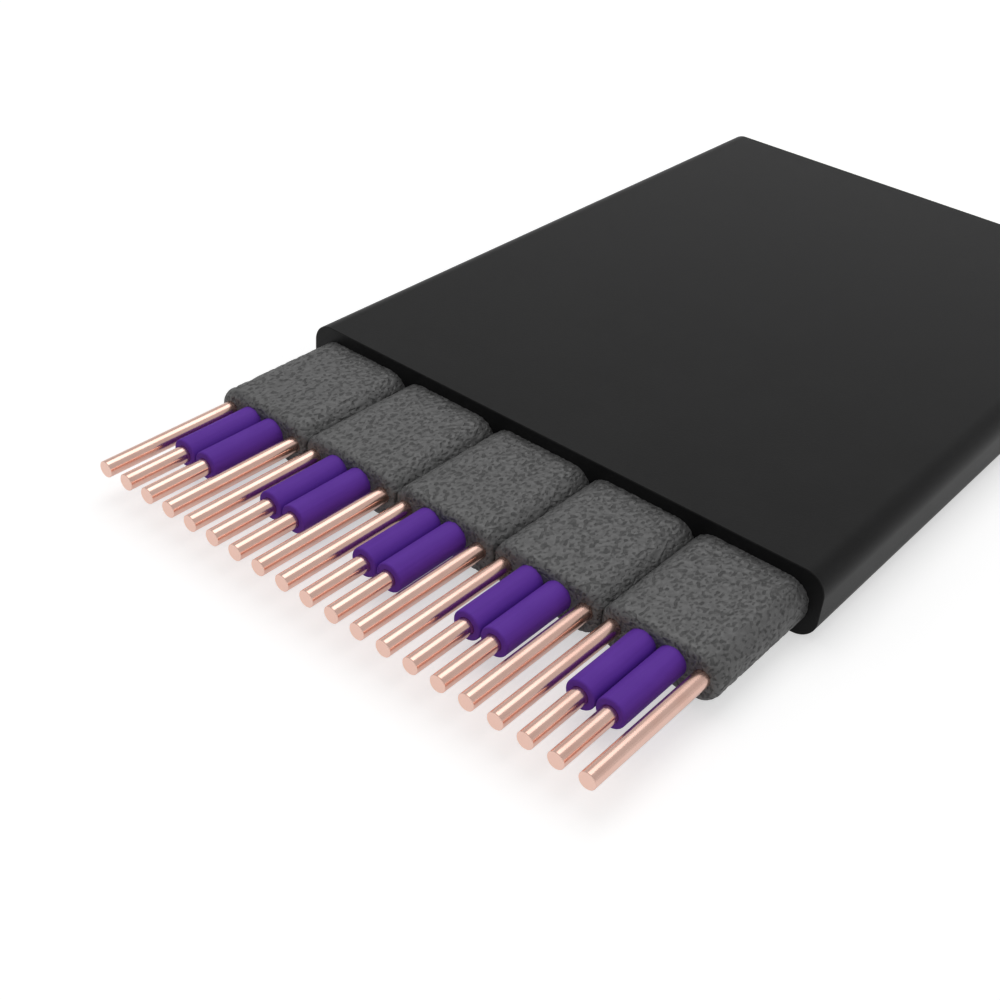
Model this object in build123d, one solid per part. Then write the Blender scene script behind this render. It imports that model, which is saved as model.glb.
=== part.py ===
from build123d import *

import os

# A stripped end of flat shielded ribbon cable for a graphics card riser.
# Twenty bare copper wire ends stand in one row. They are grouped by fours: a
# pair of insulated signal wires between two bare drain wires, all four held
# in one foil wrap. Five wraps lie side by side in one flat jacket, which
# fills the grooves between them.
# Millimetres, +Z up. The wires run along Y with their bare tips toward -Y.
# The origin is at the middle of the underside.

# Driving dimensions of the wire row
wire_pitch = 0.57
wire_diameter = 0.32
insulation_diameter = 0.56
wires_per_wrap = 4
wrap_count = 5

# Driving dimensions of the stepped strip, from the bare tips backwards
bare_tip_length = 1.32
shown_insulation_length = 1.64
shown_wrap_length = 2.76
jacket_length = 16.0

# Driving dimensions of the wrap and the jacket sections
wrap_height = 0.956
wrap_side_flat = 0.05
wrap_side_squeeze = 0.04
wrap_end_radius = 0.16
wires_above_wrap_middle = 0.058
jacket_side_wall = 0.23
jacket_top_wall = 0.26
jacket_base_wall = 0.146
jacket_corner_radius = 0.434
insulation_end_radius = 0.04

# All round each wire in its insulation, and each wire or insulation in its wrap
fit_clearance = 0.008

# Sizes that follow from those above
wrap_pitch = wires_per_wrap * wire_pitch
wrap_free_width = wrap_pitch + 2 * wrap_side_squeeze
wrap_corner_radius = (wrap_height - wrap_side_flat) / 2
core_width = wrap_count * wrap_pitch + 2 * wrap_side_squeeze
jacket_width = core_width + 2 * jacket_side_wall
jacket_height = jacket_base_wall + wrap_height + jacket_top_wall
jacket_middle_height = jacket_height / 2
wrap_middle_height = jacket_base_wall + wrap_height / 2
wire_height = wrap_middle_height + wires_above_wrap_middle
insulation_start = bare_tip_length
wrap_start = insulation_start + shown_insulation_length
jacket_start = wrap_start + shown_wrap_length
cable_length = jacket_start + jacket_length


def along_cable(distance):
    """Y of a place that lies this far behind the bare tips."""
    return distance - cable_length / 2


def wrap_middle(wrap_number):
    """X of the middle of a wrap, counted from 0 at the left."""
    return (wrap_number + 0.5 - wrap_count / 2) * wrap_pitch


def round_bar(across, diameter, start):
    """A round bar on the wire row, from start to the far end of the cable."""
    length = cable_length - start
    bar = Cylinder(diameter / 2, length, align=(Align.CENTER, Align.CENTER, Align.MIN))
    return Pos(across, along_cable(start), wire_height) * Rot(-90, 0, 0) * bar


def flat_bar(across, middle_height, width, height, corner_radius, start):
    """A bar of rounded rectangular section, from start to the far end of the cable."""
    section = Plane.XZ * RectangleRounded(width, height, corner_radius)
    bar = extrude(section, amount=start - cable_length)
    return Pos(across, along_cable(start), middle_height) * bar


def wrap_bar(wrap_number, start):
    """The outer shape of one wrap, squeezed flat where it meets the wrap on either side."""
    bar = flat_bar(
        wrap_middle(wrap_number),
        wrap_middle_height,
        wrap_free_width,
        wrap_height,
        wrap_corner_radius,
        start,
    )
    for neighbour in (wrap_number - 1, wrap_number + 1):
        if neighbour in range(wrap_count):
            neighbour_place = Box(wrap_pitch, 2 * cable_length, 2 * jacket_height)
            bar -= Pos(wrap_middle(neighbour), 0, wrap_middle_height) * neighbour_place
    return bar


def rounded_front(bar, radius):
    """The same bar with the outer edge of its front face rounded."""
    front = bar.faces().sort_by(Axis.Y)[0]
    return fillet(front.edges(), radius)


def make_wire(across):
    """One solid copper wire over the whole length, cut square at both ends."""
    return round_bar(across, wire_diameter, start=0)


def make_insulation(across):
    """The plastic tube extruded round one signal wire, stripped at its tip."""
    tube = rounded_front(
        round_bar(across, insulation_diameter, insulation_start), insulation_end_radius
    )
    bore = round_bar(across, wire_diameter + 2 * fit_clearance, insulation_start)
    return tube - bore


def make_wrap(wrap_number, signal_places, drain_places):
    """One foil wrap, closed round its four wires, with a bore for each of them."""
    wrap = rounded_front(wrap_bar(wrap_number, wrap_start), wrap_end_radius)
    for place in signal_places:
        wrap -= round_bar(place, insulation_diameter + 2 * fit_clearance, wrap_start)
    for place in drain_places:
        wrap -= round_bar(place, wire_diameter + 2 * fit_clearance, wrap_start)
    return wrap


def make_jacket():
    """The flat outer jacket, extruded tight over the wraps and down between them."""
    jacket = flat_bar(
        0, jacket_middle_height, jacket_width, jacket_height, jacket_corner_radius, jacket_start
    )
    for wrap_number in range(wrap_count):
        jacket -= wrap_bar(wrap_number, jacket_start)
    return jacket


def wire_places(wrap_number):
    """X of each wire in one wrap, from left to right."""
    first = wrap_middle(wrap_number) - (wires_per_wrap - 1) / 2 * wire_pitch
    return [first + wire * wire_pitch for wire in range(wires_per_wrap)]


def make_cable():
    """Every piece of the cable by its name."""
    pieces = {"outer_jacket": make_jacket()}
    for wrap_number in range(wrap_count):
        places = wire_places(wrap_number)
        signal_places = places[1:-1]
        drain_places = [places[0], places[-1]]
        label = wrap_number + 1
        pieces[f"shield_wrap_{label}"] = make_wrap(wrap_number, signal_places, drain_places)
        for side, place in zip(("left", "right"), signal_places):
            pieces[f"signal_wire_{label}_{side}"] = make_wire(place)
            pieces[f"insulation_{label}_{side}"] = make_insulation(place)
        for side, place in zip(("left", "right"), drain_places):
            pieces[f"drain_wire_{label}_{side}"] = make_wire(place)
    return pieces


os.makedirs("parts", exist_ok=True)
for name, piece in make_cable().items():
    export_step(piece, f"parts/{name}.step")
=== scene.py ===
import math

import bpy
from mathutils import Matrix, Vector, noise


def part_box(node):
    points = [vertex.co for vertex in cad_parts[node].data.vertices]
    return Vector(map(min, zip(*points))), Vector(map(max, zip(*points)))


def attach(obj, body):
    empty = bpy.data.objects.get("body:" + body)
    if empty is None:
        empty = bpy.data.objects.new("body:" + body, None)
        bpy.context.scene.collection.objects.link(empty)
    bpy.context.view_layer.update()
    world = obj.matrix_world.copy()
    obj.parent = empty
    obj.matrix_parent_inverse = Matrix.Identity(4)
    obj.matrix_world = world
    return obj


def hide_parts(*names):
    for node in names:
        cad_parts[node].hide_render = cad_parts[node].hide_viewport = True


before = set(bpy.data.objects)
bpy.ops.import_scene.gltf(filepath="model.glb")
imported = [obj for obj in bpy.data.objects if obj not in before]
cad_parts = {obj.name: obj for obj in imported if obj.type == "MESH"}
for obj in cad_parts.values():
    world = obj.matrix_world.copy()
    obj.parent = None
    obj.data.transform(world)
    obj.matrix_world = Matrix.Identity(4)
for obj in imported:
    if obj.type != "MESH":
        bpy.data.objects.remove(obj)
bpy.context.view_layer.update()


# Bare copper wires. Each is solid drawn copper, cut square with flush cutters at both ends.
# In every group the outer two are drain wires, bare from the wrap on, and the inner two carry
# the signal and lie in plastic. All run through the whole cable and are held by the wrap.
MM = 0.001
WIRE_SIDES = 64
CUT_EDGE = 0.008 * MM
COPPER_COLOUR = (0.92, 0.62, 0.525, 1.0)
DULL_COPPER_COLOUR = (0.89, 0.57, 0.475, 1.0)
DRAWN_ROUGHNESS = 0.2
CUT_ROUGHNESS = 0.28
# The cut ends' paler colour is a painted reflection of the bright table in front of them.
CUT_COLOUR_WITH_PAINTED_REFLECTION = (0.99, 0.67, 0.565, 1.0)
DRAWING_LINE = 0.02 * MM
DRAWING_STRETCH = 0.01
DRAWING_DEPTH = 0.0006 * MM
STAIN_SIZE = 0.5 * MM


class Channel:
    """One output of a shader node, so that shader maths reads as plain sums and products."""

    def __init__(self, tree, output):
        self.tree = tree
        self.output = output

    @classmethod
    def node(cls, tree, kind, settings, inputs, output=0):
        """A new node: its settings first, then a value or a link for each socket named."""
        made = tree.nodes.new(kind)
        for name, value in settings.items():
            setattr(made, name, value)
        for name, value in inputs.items():
            if isinstance(value, cls):
                tree.links.new(value.output, made.inputs[name])
            else:
                made.inputs[name].default_value = value
        return cls(tree, made.outputs[output])

    def maths(self, operation, first, second):
        return Channel.node(self.tree, "ShaderNodeMath", {"operation": operation}, {0: first, 1: second})

    def __add__(self, other):
        return self.maths("ADD", self, other)

    def __radd__(self, other):
        return self.maths("ADD", other, self)

    def __sub__(self, other):
        return self.maths("SUBTRACT", self, other)

    def __rsub__(self, other):
        return self.maths("SUBTRACT", other, self)

    def __mul__(self, other):
        return self.maths("MULTIPLY", self, other)

    def __rmul__(self, other):
        return self.maths("MULTIPLY", other, self)

    def between(self, low, high):
        """0 where this is low or less, 1 where it is high or more, and a smooth step between."""
        sockets = {"Value": self, "From Min": low, "From Max": high}
        return Channel.node(self.tree, "ShaderNodeMapRange", {"interpolation_type": "SMOOTHSTEP"}, sockets)

    def mix_colours(self, at_zero, at_one):
        """The first colour where this is 0 and the second where it is 1."""
        sockets = {0: self, 6: at_zero, 7: at_one}
        return Channel.node(self.tree, "ShaderNodeMix", {"data_type": "RGBA"}, sockets, output=2)

    def drive(self, shader, socket):
        self.tree.links.new(self.output, shader.inputs[socket])


def new_finish(name, constants):
    """A new material, the tree it is drawn in and its shader, with the shader's constants set."""
    finish = bpy.data.materials.new(name)
    finish.use_nodes = True
    shader = finish.node_tree.nodes["Principled BSDF"]
    for socket, value in constants.items():
        shader.inputs[socket].default_value = value
    return finish, finish.node_tree, shader


def place_on_object(tree, stretch=(1.0, 1.0, 1.0)):
    """The place on the cable, in metres, with an axis squeezed where the pattern is drawn out along it."""
    place = Channel.node(tree, "ShaderNodeTexCoord", {}, {}, output="Object")
    return Channel.node(tree, "ShaderNodeMapping", {}, {"Vector": place, "Scale": stretch})


def mottle(tree, place, size, detail=2.0):
    """Soft blotches of about this size, from 0 to 1."""
    sockets = {"Vector": place, "Scale": 1 / size, "Detail": detail}
    return Channel.node(tree, "ShaderNodeTexNoise", {}, sockets, output="Fac")


def relief(tree, height, depth):
    """A normal for a surface whose height, from 0 to 1, is this many metres deep."""
    return Channel.node(tree, "ShaderNodeBump", {}, {"Height": height, "Strength": 1.0, "Distance": depth})


def skin(name, loops, finish, ring_closed=False):
    """A mesh drawn over loops of equal length, capped at both ends or closed on itself like a tube."""
    count = len(loops[0])
    points = [point for loop in loops for point in loop]
    faces = []
    starts = range(len(loops) if ring_closed else len(loops) - 1)
    for loop in starts:
        following = (loop + 1) % len(loops)
        for step in range(count):
            beside = (step + 1) % count
            here = loop * count
            ahead = following * count
            faces.append((ahead + step, ahead + beside, here + beside, here + step))
    if not ring_closed:
        faces.append(tuple(range(count)))
        faces.append(tuple(reversed(range(len(points) - count, len(points)))))
    mesh = bpy.data.meshes.new(name)
    mesh.from_pydata(points, [], faces)
    mesh.materials.append(finish)
    piece = bpy.data.objects.new(name, mesh)
    bpy.context.scene.collection.objects.link(piece)
    return piece


def soften(piece, sharp_from=35.0):
    """Smooth shading everywhere but over edges sharper than this many degrees."""
    piece.data.shade_smooth()
    piece.data.set_sharp_from_angle(angle=math.radians(sharp_from))


def stand_for(piece, node):
    """The piece is shown in the place of one CAD node: it joins the root body, and the node's own part is
    hidden.
    """
    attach(piece, "root")
    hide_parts(node)


def circle(across, along, up, radius, sides=WIRE_SIDES):
    """Points round a wire's axis, in the plane across the cable."""
    turns = [2 * math.pi * side / sides for side in range(sides)]
    places = [(across + radius * math.cos(turn), along, up + radius * math.sin(turn)) for turn in turns]
    return [Vector(place) for place in places]


def middle_of(low, high):
    return (low + high) / 2


def make_copper():
    """Bright copper with fine lines along it from the drawing die, and rougher cut ends whose paler colour
    is a painted reflection of the bright table in front of them.
    """
    finish, tree, shader = new_finish("bare_copper", {"Metallic": 1.0})
    place = place_on_object(tree)
    lines = mottle(tree, place_on_object(tree, (1.0, DRAWING_STRETCH, 1.0)), DRAWING_LINE)
    stain = mottle(tree, place, STAIN_SIZE, detail=4.0)
    normal = Channel.node(tree, "ShaderNodeTexCoord", {}, {}, output="Normal")
    facing_along = Channel.node(tree, "ShaderNodeSeparateXYZ", {}, {"Vector": normal}, output="Y")
    cut = (facing_along * facing_along).between(0.6, 0.9)
    grain = mottle(tree, place, DRAWING_LINE, detail=4.0)
    drawn = stain.between(0.35, 0.75).mix_colours(COPPER_COLOUR, DULL_COPPER_COLOUR)
    # The cut ends are painted paler, as a painted reflection of the bright table in front of them.
    cut.mix_colours(drawn, CUT_COLOUR_WITH_PAINTED_REFLECTION).drive(shader, "Base Color")
    roughness = DRAWN_ROUGHNESS + 0.06 * stain + cut * (CUT_ROUGHNESS - DRAWN_ROUGHNESS)
    roughness.drive(shader, "Roughness")
    relief(tree, 0.4 * (1 - cut) * lines + cut * grain, DRAWING_DEPTH).drive(shader, "Normal")
    return finish


def make_wire(node, finish):
    """One wire, on the axis and with the ends that the CAD wire has."""
    low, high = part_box(node)
    axis = middle_of(low, high)
    radius = (high.z - low.z) / 2
    ends = ((low.y, 1), (high.y, -1))
    loops = []
    for along, inward in ends:
        rim = circle(axis.x, along, axis.z, radius - CUT_EDGE)
        shoulder = circle(axis.x, along + inward * CUT_EDGE, axis.z, radius)
        loops += [rim, shoulder] if inward > 0 else [shoulder, rim]
    wire = skin(f"{node}_drawn", loops, finish)
    soften(wire)
    stand_for(wire, node)


copper = make_copper()
wire_nodes = sorted(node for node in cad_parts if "wire" in node)
for node in wire_nodes:
    make_wire(node, copper)


# Insulation tubes. Each is soft purple plastic extruded round one signal wire, ten in all, and
# stripped back from its tip with a blade that leaves a slightly rounded rim. The two tubes of a
# pair lie side by side, and the wrap holds them.
TUBE_SIDES = 72
RIM_RADIUS = 0.04 * MM
RIM_STEPS = 5
PURPLE = (0.136, 0.036, 0.4, 1.0)
DEEP_PURPLE = (0.124, 0.032, 0.37, 1.0)
TUBE_ROUGHNESS = 0.62
TUBE_CLEARANCE = 0.004 * MM
STREAK_SIZE = 0.06 * MM
STREAK_STRETCH = 0.04
TUBE_CLOUD_SIZE = 0.9 * MM
TUBE_GRAIN_SIZE = 0.012 * MM
TUBE_RELIEF = 0.0015 * MM


def make_purple():
    """Matte coloured plastic with the faint streaks and ripple that extruding leaves."""
    finish, tree, shader = new_finish("purple_insulation", {"IOR": 1.3})
    place = place_on_object(tree)
    streaks = mottle(tree, place_on_object(tree, (1.0, STREAK_STRETCH, 1.0)), STREAK_SIZE)
    cloud = mottle(tree, place, TUBE_CLOUD_SIZE, detail=3.0)
    grain = mottle(tree, place, TUBE_GRAIN_SIZE, detail=3.0)
    tone = (0.5 * streaks + 0.5 * cloud).between(0.35, 0.65)
    tone.mix_colours(PURPLE, DEEP_PURPLE).drive(shader, "Base Color")
    (TUBE_ROUGHNESS - 0.05 + 0.12 * cloud).drive(shader, "Roughness")
    relief(tree, 0.6 * streaks + 0.4 * grain, TUBE_RELIEF).drive(shader, "Normal")
    return finish


def make_tube(node, wire_node, finish):
    """One tube round its wire, with the stripped rim rounded over and the far end cut flush."""
    low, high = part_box(node)
    wire_low, wire_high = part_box(wire_node)
    axis = middle_of(low, high)
    outer = (high.z - low.z) / 2
    bore = (wire_high.z - wire_low.z) / 2 + TUBE_CLEARANCE
    loops = [circle(axis.x, low.y, axis.z, bore, TUBE_SIDES)]
    for step in range(RIM_STEPS + 1):
        turn = math.pi / 2 * step / RIM_STEPS
        radius = outer - RIM_RADIUS * (1 - math.sin(turn))
        along = low.y + RIM_RADIUS * (1 - math.cos(turn))
        loops.append(circle(axis.x, along, axis.z, radius, TUBE_SIDES))
    loops.append(circle(axis.x, high.y, axis.z, outer, TUBE_SIDES))
    loops.append(circle(axis.x, high.y, axis.z, bore, TUBE_SIDES))
    tube = skin(f"{node}_tube", loops, finish, ring_closed=True)
    soften(tube)
    stand_for(tube, node)


purple = make_purple()
tube_nodes = sorted(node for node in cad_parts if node.startswith("insulation"))
for node in tube_nodes:
    make_tube(node, node.replace("insulation", "signal_wire"), purple)


# Foil wraps. Each is dull grey shielding foil wound round a pair and its two drain wires, five
# side by side. Winding crumples the foil all over, and it closes round the wires at the front.
# Friction in the jacket holds it.
WRAP_COUNT = 5
INNER_WRAP = "shield_wrap_3"
FOIL_STEP = 0.021 * MM
FOIL_SIDE_FLAT = 0.05 * MM
FOIL_SQUEEZE = 0.04 * MM
FOIL_END_RADIUS = 0.16 * MM
FOIL_HIDDEN = 0.2 * MM
FOIL_FRONT_ROUND = 8
FOIL_SHARP_FROM = 60.0
SEED_STEP = Vector((13.0, 5.0, -8.0))
WINDING_STRETCH = 0.62
CRUMPLE_SEED = 7
LUMP_SIZE = 0.068 * MM
LUMP_HEIGHT = 0.014 * MM
LUMP_PROUD = 0.006 * MM
LUMP_SWIRL = 0.3
HOLLOW_LEVEL = 0.45
HOLLOW_STEEPNESS = 1.6
SAG_SIZE = 0.7 * MM
SAG_DEPTH = 0.003 * MM
CREASE_SIZE = 0.056 * MM
CREASE_DEPTH = 0.012 * MM
FOIL_CLOUD_SIZE = 0.35 * MM
FOIL_GRIT_SIZE = 0.02 * MM
BORE_CLEARANCE = 0.003 * MM
PAST_END = 1 * MM
# The foil's dark colour is reached mostly through painted shade in its creases and hollows.
FOIL_LIGHT = (0.154, 0.154, 0.154, 1.0)
FOIL_DARK_WITH_PAINTED_SHADE = (0.057, 0.057, 0.057, 1.0)


def rounded_outline(width, height, corner, step, inset=0.0):
    """Places and outward directions round a rounded rectangle, or one that lies inside it, in XZ."""
    arc_steps = max(4, round(math.pi / 2 * corner / step))
    corners = ((1, 1), (-1, 1), (-1, -1), (1, -1))
    reach = Vector((width / 2 - corner, 0.0, height / 2 - corner))
    middles = [Vector((right * reach.x, 0.0, up * reach.z)) for right, up in corners]
    outline = []
    for number, middle in enumerate(middles):
        for arc_step in range(arc_steps + 1):
            turn = math.pi / 2 * (number + arc_step / arc_steps)
            outward = Vector((math.cos(turn), 0.0, math.sin(turn)))
            outline.append((middle + (corner - inset) * outward, outward))
        flat = middles[(number + 1) % 4] - middle
        flat_start = outline[-1][0]
        flat_steps = max(1, round(flat.length / step))
        for flat_step in range(1, flat_steps):
            outline.append((flat_start + flat * flat_step / flat_steps, outward))
    return outline


def wrap_outline(number, step, inset=0.0):
    """The same round one wrap, where it stands, pressed flat where the next wrap touches it."""
    low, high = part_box(f"shield_wrap_{number}")
    inner_low, inner_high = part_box(INNER_WRAP)
    pair_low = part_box(f"insulation_{number}_left")[0]
    pair_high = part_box(f"insulation_{number}_right")[1]
    middle = middle_of(pair_low, pair_high).x
    height = high.z - low.z
    width = inner_high.x - inner_low.x + 2 * FOIL_SQUEEZE
    outline = []
    for point, outward in rounded_outline(width, height, (height - FOIL_SIDE_FLAT) / 2, step, inset):
        across = middle + point.x
        if across < low.x + inset:
            across, outward = low.x + inset, Vector((-1.0, 0.0, 0.0))
        elif across > high.x - inset:
            across, outward = high.x - inset, Vector((1.0, 0.0, 0.0))
        outline.append((Vector((across, 0.0, middle_of(low, high).z + point.z)), outward))
    return outline


def crumple(place, seed):
    """How far the foil is pressed in here, in metres, and how low it lies between lumps, from 0 to 1."""
    spot = Vector((place.x, WINDING_STRETCH * place.y, place.z)) / LUMP_SIZE + seed
    swell = noise.noise(spot + LUMP_SWIRL * noise.noise_vector(spot))
    hollow = max(0.0, min(1.0, HOLLOW_LEVEL - HOLLOW_STEEPNESS * swell))
    sag = noise.noise(place / SAG_SIZE - seed)
    return LUMP_HEIGHT * hollow - LUMP_PROUD + SAG_DEPTH * max(0.0, sag), hollow


def make_foil():
    """Dull metal foil, crumpled finely all over and rougher down in its creases, darker there and in its
    hollows by painted shade.
    """
    finish, tree, shader = new_finish("shield_foil", {"IOR": 1.5})
    place = place_on_object(tree)
    hollow = Channel.node(tree, "ShaderNodeAttribute", {"attribute_name": "hollow"}, {}, output="Fac")
    wound = place_on_object(tree, (1.0, WINDING_STRETCH, 1.0))
    crease = 1 - mottle(tree, wound, CREASE_SIZE, detail=0.4).between(0.32, 0.51)
    cloud = mottle(tree, place, FOIL_CLOUD_SIZE, detail=3.0)
    grit = mottle(tree, place, FOIL_GRIT_SIZE, detail=3.0)
    # The crease and hollow terms are painted shade in the creases and between the lumps; cloud and grit are
    # the foil's random tone.
    tone = 0.34 * crease + 0.22 * hollow + 0.1 * cloud + 0.1 * grit + 0.02
    tone.between(0.0, 1.0).mix_colours(FOIL_LIGHT, FOIL_DARK_WITH_PAINTED_SHADE).drive(shader, "Base Color")
    (0.35 + 0.1 * cloud).drive(shader, "Metallic")
    (0.48 + 0.18 * crease + 0.06 * grit).drive(shader, "Roughness")
    relief(tree, 0.15 * grit - crease, CREASE_DEPTH).drive(shader, "Normal")
    return finish


def carve(piece, loops):
    """Cut the body drawn over these loops out of the piece."""
    cutter = skin("cutter", loops, piece.data.materials[0])
    cut = piece.modifiers.new("cut", "BOOLEAN")
    cut.operation = "DIFFERENCE"
    cut.solver = "MANIFOLD"
    cut.object = cutter
    carved = bpy.data.meshes.new_from_object(piece.evaluated_get(bpy.context.evaluated_depsgraph_get()))
    piece.modifiers.clear()
    piece.data = carved
    bpy.data.objects.remove(cutter)


def cut_bore(piece, node):
    """Cut a round bore for this wire or tube, which the foil closes on with a hair of clearance."""
    low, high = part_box(node)
    axis = middle_of(low, high)
    radius = (high.z - low.z) / 2 + BORE_CLEARANCE
    ends = (low.y - PAST_END, high.y + PAST_END)
    carve(piece, [circle(axis.x, along, axis.z, radius, TUBE_SIDES) for along in ends])


def make_wrap(number, finish):
    """One crumpled wrap, rounded over at its front, with a bore for each of its wires."""
    node = f"shield_wrap_{number}"
    low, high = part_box(node)
    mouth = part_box("outer_jacket")[0].y
    corner = (high.z - low.z - FOIL_SIDE_FLAT) / 2
    seed = number * SEED_STEP
    # Each row is one loop of points: its place along the cable, how far it lies inside the
    # outline, how far it leans to the front, and how much of the crumpling it takes
    rows = []
    face_steps = math.ceil((corner - FOIL_END_RADIUS) / FOIL_STEP)
    for step in range(1, face_steps):
        inset = corner - (corner - FOIL_END_RADIUS) * step / face_steps
        rows.append((low.y, inset, math.pi / 2, (step - 1) / face_steps))
    for step in range(FOIL_FRONT_ROUND):
        lean = math.pi / 2 * (1 - step / FOIL_FRONT_ROUND)
        along = low.y + FOIL_END_RADIUS * (1 - math.sin(lean))
        rows.append((along, FOIL_END_RADIUS * (1 - math.cos(lean)), lean, 1.0))
    shown = mouth + FOIL_HIDDEN - low.y - FOIL_END_RADIUS
    side_steps = math.ceil(shown / FOIL_STEP)
    for step in range(side_steps + 1):
        rows.append((low.y + FOIL_END_RADIUS + shown * step / side_steps, 0.0, 0.0, 1.0))
    rows.append((mouth + 2 * FOIL_HIDDEN, 0.0, 0.0, 0.0))
    rows.append((high.y, 0.0, 0.0, 0.0))
    loops = []
    hollows = []
    for along, inset, lean, amount in rows:
        loop = []
        for point, outward in wrap_outline(number, FOIL_STEP, inset):
            place = point + Vector((0.0, along, 0.0))
            facing = outward * math.cos(lean) + Vector((0.0, -math.sin(lean), 0.0))
            pressed_in, hollow = crumple(place, seed)
            loop.append(place - facing * pressed_in * amount)
            hollows.append(hollow * amount)
        loops.append(loop)
    wrap = skin(f"{node}_foil", loops, finish)
    # The hollow attribute carries how deep each point lies, and the foil's colour uses it for painted shade
    # in the hollows.
    layer = wrap.data.attributes.new("hollow", "FLOAT", "POINT")
    layer.data.foreach_set("value", hollows)
    for kind in ("drain_wire", "insulation"):
        for side in ("left", "right"):
            cut_bore(wrap, f"{kind}_{number}_{side}")
    soften(wrap, FOIL_SHARP_FROM)
    stand_for(wrap, node)


foil = make_foil()
noise.seed_set(CRUMPLE_SEED)
for number in range(1, WRAP_COUNT + 1):
    make_wrap(number, foil)


# Outer jacket. It is black flexible plastic, extruded tight over the row of wraps as one flat
# tube and cut square at both ends. Its skin is satin, with the faint grain of the die.
JACKET_CORNER = 0.434 * MM
JACKET_STEP = 0.03 * MM
JACKET_CUT_EDGE = 0.012 * MM
MOUTH_GRIP = 0.012 * MM
MOUTH_DEPTH = 0.3 * MM
JACKET_COLOUR = (0.0075, 0.0075, 0.0078, 1.0)
JACKET_WORN_COLOUR = (0.0095, 0.0095, 0.0098, 1.0)
JACKET_GRAIN_SIZE = 0.03 * MM
JACKET_GRAIN_DEPTH = 0.002 * MM
JACKET_CLOUD_SIZE = 1.4 * MM


def make_black():
    """Satin black plastic with a fine grain and a slow unevenness in its gloss."""
    finish, tree, shader = new_finish("jacket_plastic", {"IOR": 1.25})
    place = place_on_object(tree)
    grain = mottle(tree, place, JACKET_GRAIN_SIZE, detail=4.0)
    cloud = mottle(tree, place, JACKET_CLOUD_SIZE, detail=4.0)
    cloud.between(0.35, 0.7).mix_colours(JACKET_COLOUR, JACKET_WORN_COLOUR).drive(shader, "Base Color")
    (0.36 + 0.06 * cloud + 0.05 * grain).drive(shader, "Roughness")
    relief(tree, grain, JACKET_GRAIN_DEPTH).drive(shader, "Normal")
    return finish


def opening_outline(inset):
    """Places round the one opening that the five wraps fill, with plastic down in every groove."""
    over = []
    under = []
    for number in range(1, WRAP_COUNT + 1):
        low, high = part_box(f"shield_wrap_{number}")
        middle = middle_of(low, high).z
        corner = (high.z - low.z - FOIL_SIDE_FLAT) / 2
        # The outlines of two wraps meet this far above and below their middle, at the groove's tip
        tip = FOIL_SIDE_FLAT / 2 + math.sqrt((corner - inset) ** 2 - (corner - FOIL_SQUEEZE) ** 2)
        upper = []
        lower = []
        edges = [edge for edge, outward in wrap_outline(number, JACKET_STEP)]
        points = [point for point, outward in wrap_outline(number, JACKET_STEP, inset)]
        for edge, point in zip(edges, points):
            pressed = (number > 1 and edge.x <= low.x) or (number < WRAP_COUNT and edge.x >= high.x)
            on_side_flat = abs(point.z - middle) < FOIL_SIDE_FLAT / 4
            if not pressed and not on_side_flat:
                half = upper if point.z > middle else lower
                half.append(point)
        if number > 1:
            over.append(Vector((low.x, 0.0, middle + tip)))
            under.append(Vector((low.x, 0.0, middle - tip)))
        over += reversed(upper)
        under += lower
    return list(reversed(over)) + under


def make_jacket(finish):
    """The flat body with its cut edges eased, and an opening that grips the wraps at the mouth."""
    node = "outer_jacket"
    low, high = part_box(node)
    centre = middle_of(low, high)
    outside = rounded_outline(high.x - low.x, high.z - low.z, JACKET_CORNER, JACKET_STEP)
    eased = JACKET_CUT_EDGE
    loops = []
    for along, inset in ((low.y, eased), (low.y + eased, 0.0), (high.y - eased, 0.0), (high.y, eased)):
        middle = Vector((centre.x, along, centre.z))
        loops.append([middle + point - inset * outward for point, outward in outside])
    jacket = skin(f"{node}_extruded", loops, finish)
    inside = low.y + MOUTH_DEPTH
    opening = []
    for along, inset in (
        (low.y - PAST_END, MOUTH_GRIP),
        (inside, MOUTH_GRIP),
        (inside + MOUTH_GRIP, 0.0),
        (high.y + PAST_END, 0.0),
    ):
        opening.append([point + Vector((0.0, along, 0.0)) for point in opening_outline(inset)])
    carve(jacket, opening)
    soften(jacket)
    stand_for(jacket, node)


black = make_black()
make_jacket(black)


# Camera, at the photograph's angle. It looks down on the bare tips from the right, and is rolled
# a little, so that the row of tips runs down to the right.
CAMERA_AZIMUTH = 37.0
CAMERA_ELEVATION = 35.5
CAMERA_ROLL = 4.99
CAMERA_DISTANCE = 22.65 * MM
TIPS_LEFT_OF_CENTRE = 2.913 * MM
TIPS_BELOW_CENTRE = 1.717 * MM
CAMERA_LENS = 50.9
CAMERA_SENSOR = 36.0
NEAREST_SEEN = 0.5 * MM
FARTHEST_SEEN = 10.0


def aimed(place, right, up, back):
    """Where a camera or a lamp stands and how it is turned."""
    return Matrix.Translation(place) @ Matrix((right, up, back)).transposed().to_4x4()


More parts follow.
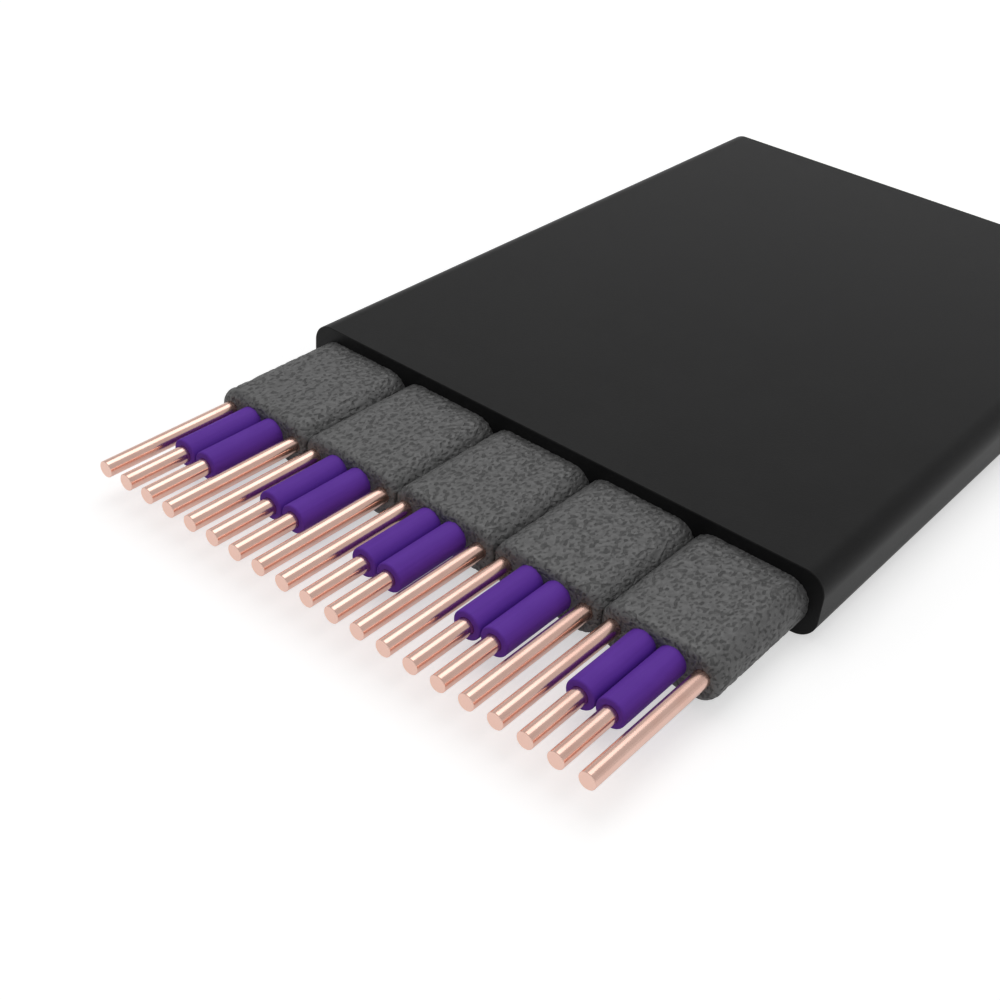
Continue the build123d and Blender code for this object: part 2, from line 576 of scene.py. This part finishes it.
def make_camera():
    """A camera placed by where the middle of the row of tips falls in its picture."""
    turn = math.radians(CAMERA_AZIMUTH)
    rise = math.radians(CAMERA_ELEVATION)
    roll = math.radians(CAMERA_ROLL)
    back = Vector((math.sin(turn) * math.cos(rise), -math.cos(turn) * math.cos(rise), math.sin(rise)))
    level_right = Vector((math.cos(turn), math.sin(turn), 0.0))
    level_up = back.cross(level_right)
    right = math.cos(roll) * level_right + math.sin(roll) * level_up
    up = -math.sin(roll) * level_right + math.cos(roll) * level_up
    first_low, first_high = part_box(wire_nodes[0])
    tips = Vector((0.0, first_low.y, middle_of(first_low, first_high).z))
    place = tips + back * CAMERA_DISTANCE + right * TIPS_LEFT_OF_CENTRE + up * TIPS_BELOW_CENTRE
    lens = bpy.data.cameras.new("camera")
    lens.lens = CAMERA_LENS
    lens.sensor_width = CAMERA_SENSOR
    lens.clip_start = NEAREST_SEEN
    lens.clip_end = FARTHEST_SEEN
    camera = bpy.data.objects.new("camera", lens)
    camera.matrix_world = aimed(place, right, up, back)
    bpy.context.scene.collection.objects.link(camera)
    bpy.context.scene.camera = camera


make_camera()


# Table and light. The cable lies on a plain pale table that sweeps up into a low backdrop all
# round, under one large soft lamp above and behind it and an even pale room.
TABLE_RADIUS = 500 * MM
SWEEP_RADIUS = 100 * MM
SWEEP_STEPS = 12
BACKDROP_HEIGHT = 220 * MM
BACKDROP_SIDES = 96
TABLE_COLOUR = (0.7, 0.7, 0.7, 1.0)
TABLE_ROUGHNESS = 0.9
WHITE = (1.0, 1.0, 1.0, 1.0)
TABLE_LIFT = 0.52
MIRRORED_SHARE = 0.6
ROOM_LEVEL = 0.55
LAMP_DIRECTION = Vector((-0.193, 0.235, 0.953))
LAMP_DISTANCE = 200 * MM
LAMP_WIDTH = 146 * MM
LAMP_DEPTH = 174 * MM
LAMP_LEVEL = 1.35


def make_table():
    """A pale table that keeps a soft shadow, white to the camera and a little less so in the copper."""
    constants = {"Base Color": TABLE_COLOUR, "Roughness": TABLE_ROUGHNESS, "Emission Color": WHITE}
    finish, tree, shader = new_finish("pale_table", constants)
    camera_ray = Channel.node(tree, "ShaderNodeLightPath", {}, {}, output="Is Camera Ray")
    glossy_ray = Channel.node(tree, "ShaderNodeLightPath", {}, {}, output="Is Glossy Ray")
    clear_ray = Channel.node(tree, "ShaderNodeLightPath", {}, {}, output="Is Transmission Ray")
    (TABLE_LIFT * (camera_ray + MIRRORED_SHARE * glossy_ray + clear_ray)).drive(shader, "Emission Strength")
    rings = []
    for step in range(SWEEP_STEPS + 1):
        turn = math.pi / 2 * step / SWEEP_STEPS
        rings.append((TABLE_RADIUS + SWEEP_RADIUS * math.sin(turn), SWEEP_RADIUS * (1 - math.cos(turn))))
    rings.append((TABLE_RADIUS + SWEEP_RADIUS, BACKDROP_HEIGHT))
    points = []
    for radius, height in rings:
        for side in range(BACKDROP_SIDES):
            turn = 2 * math.pi * side / BACKDROP_SIDES
            points.append((radius * math.cos(turn), radius * math.sin(turn), height))
    faces = [tuple(range(BACKDROP_SIDES))]
    for ring in range(len(rings) - 1):
        for side in range(BACKDROP_SIDES):
            here = ring * BACKDROP_SIDES + side
            beside = ring * BACKDROP_SIDES + (side + 1) % BACKDROP_SIDES
            faces.append((here, here + BACKDROP_SIDES, beside + BACKDROP_SIDES, beside))
    mesh = bpy.data.meshes.new("table")
    mesh.from_pydata(points, [], faces)
    mesh.shade_smooth()
    mesh.materials.append(finish)
    table = bpy.data.objects.new("table", mesh)
    bpy.context.scene.collection.objects.link(table)


def make_light():
    """An even room, and one rectangular soft lamp that faces the cable."""
    room = bpy.data.worlds.new("room")
    room.use_nodes = True
    background = room.node_tree.nodes["Background"]
    background.inputs["Color"].default_value = WHITE
    background.inputs["Strength"].default_value = ROOM_LEVEL
    bpy.context.scene.world = room
    softbox = bpy.data.lights.new("softbox", "AREA")
    softbox.shape = "RECTANGLE"
    softbox.size = LAMP_WIDTH
    softbox.size_y = LAMP_DEPTH
    softbox.energy = LAMP_LEVEL * math.pi * LAMP_WIDTH * LAMP_DEPTH
    lamp = bpy.data.objects.new("softbox", softbox)
    direction = LAMP_DIRECTION.normalized()
    across = Vector((0.0, 1.0, 0.0)).cross(direction).normalized()
    lamp.matrix_world = aimed(direction * LAMP_DISTANCE, across, direction.cross(across), direction)
    bpy.context.scene.collection.objects.link(lamp)


make_table()
make_light()
bpy.context.scene.view_settings.view_transform = "Standard"
